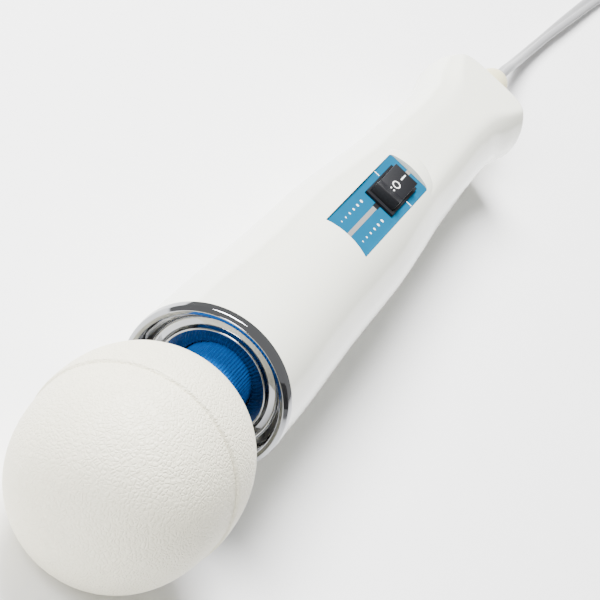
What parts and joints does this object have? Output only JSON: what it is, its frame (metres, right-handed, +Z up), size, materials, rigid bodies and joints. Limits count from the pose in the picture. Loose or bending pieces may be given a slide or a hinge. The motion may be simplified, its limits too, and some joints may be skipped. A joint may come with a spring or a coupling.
{
  "type": "handheld wand massager",
  "caption": "Mains wand massager: soft round head on a blue flexible neck, chrome collar, white tapering handle with a blue label panel and a three-position rocker switch, flat white lead",
  "frame": {"origin": "on the surface the wand lies on, under the middle of the wand's box", "axes": "+Y along the wand from head to tail, +Z up with the switch on top"},
  "size_m": [0.1182, 0.561, 0.0637],
  "materials": {
    "head_vinyl": "soft vinyl with fine grain",
    "inner_plastic": "moulded, matt",
    "steel": "machined",
    "neck_blue": "satin, finely ribbed",
    "chrome": "mirror bright",
    "casing_white": "glossy",
    "label_blue": "printed, satin",
    "switch_black": "satin black",
    "brass": "satin",
    "diode_black": "moulded",
    "copper": "enamelled copper",
    "carbon": "sintered carbon",
    "rubber": "matt",
    "relief_cream": "satin",
    "cord_white": "satin vinyl"
  },
  "bodies": {
    "handle": {"chrome_collar": "chrome", "neck_clamp_ring": "inner_plastic", "neck_retainer": "inner_plastic", "upper_shell": "casing_white", "lower_shell": "casing_white", "casing_screws": "steel", "clamp_screws": "steel", "cord_clamp": "inner_plastic", "label_plate": "label_blue", "switch_housing": "switch_black", "rocker_pin": "steel", "switch_terminals": "brass", "speed_diode": "diode_black", "field_stack": "steel", "field_coils": "copper", "front_bracket": "inner_plastic", "rear_bracket": "inner_plastic", "front_bush": "brass", "rear_bush": "brass", "motor_bolts": "steel", "front_mount_ring": "rubber", "rear_mount_ring": "rubber", "brush_tubes": "brass", "carbon_brushes": "carbon", "brush_springs": "steel", "strain_relief": "relief_cream", "inner_cord": "cord_white", "lead_wires": "cord_white", "power_cord": "cord_white", "cord_coil": "cord_white", "cord_end": "cord_white", "plug_body": "cord_white", "plug_blades": "brass"},
    "rocker": {"rocker": "switch_black"},
    "rotor": {"motor_shaft": "steel", "armature_core": "steel", "armature_winding": "copper", "commutator": "copper", "cooling_fan": "inner_plastic"},
    "neck": {"flexible_neck": "neck_blue"},
    "head": {"head_cover": "head_vinyl", "head_core_front": "inner_plastic", "head_core_rear": "inner_plastic", "front_bearing_outer_ring": "steel", "front_bearing_balls": "steel", "rear_bearing_outer_ring": "steel", "rear_bearing_balls": "steel"},
    "head_drive": {"head_shaft": "steel", "eccentric_weight": "steel", "front_bearing_inner_ring": "steel", "rear_bearing_inner_ring": "steel", "drive_spring": "steel"}
  },
  "joints": [
    {"name": "neck_yaw", "type": "hinge", "parent": "handle", "child": "neck", "pos_m": [0, -0.09202, 0.03012], "axis": [0, 0.0396, 0.9992], "range_deg": [-8, 8], "stiffness_Nm_per_rad": 6, "deforming": ["flexible_neck", "drive_spring"]},
    {"name": "neck_pitch", "type": "hinge", "parent": "neck", "child": "head", "pos_m": [0, -0.09202, 0.03012], "axis": [1, 0, 0], "range_deg": [-8, 8], "stiffness_Nm_per_rad": 6, "deforming": ["flexible_neck", "drive_spring"]},
    {"name": "rotor_spin", "type": "hinge", "parent": "handle", "child": "rotor", "pos_m": [0, -0.04806, 0.02838], "axis": [0, 0.9992, -0.0396], "continuous": true},
    {"name": "head_spin", "type": "hinge", "parent": "head", "child": "head_drive", "pos_m": [0, -0.13899, 0.03198], "axis": [0, 0.9992, -0.0396], "continuous": true},
    {"name": "rocker_tilt", "type": "hinge", "parent": "handle", "child": "rocker", "pos_m": [0, 0.03055, 0.04358], "axis": [1, 0, 0], "range_deg": [-11, 11]}
  ],
  "couplings": [
    {"joint": "head_spin", "follows": "rotor_spin", "ratio": 1}
  ]
}
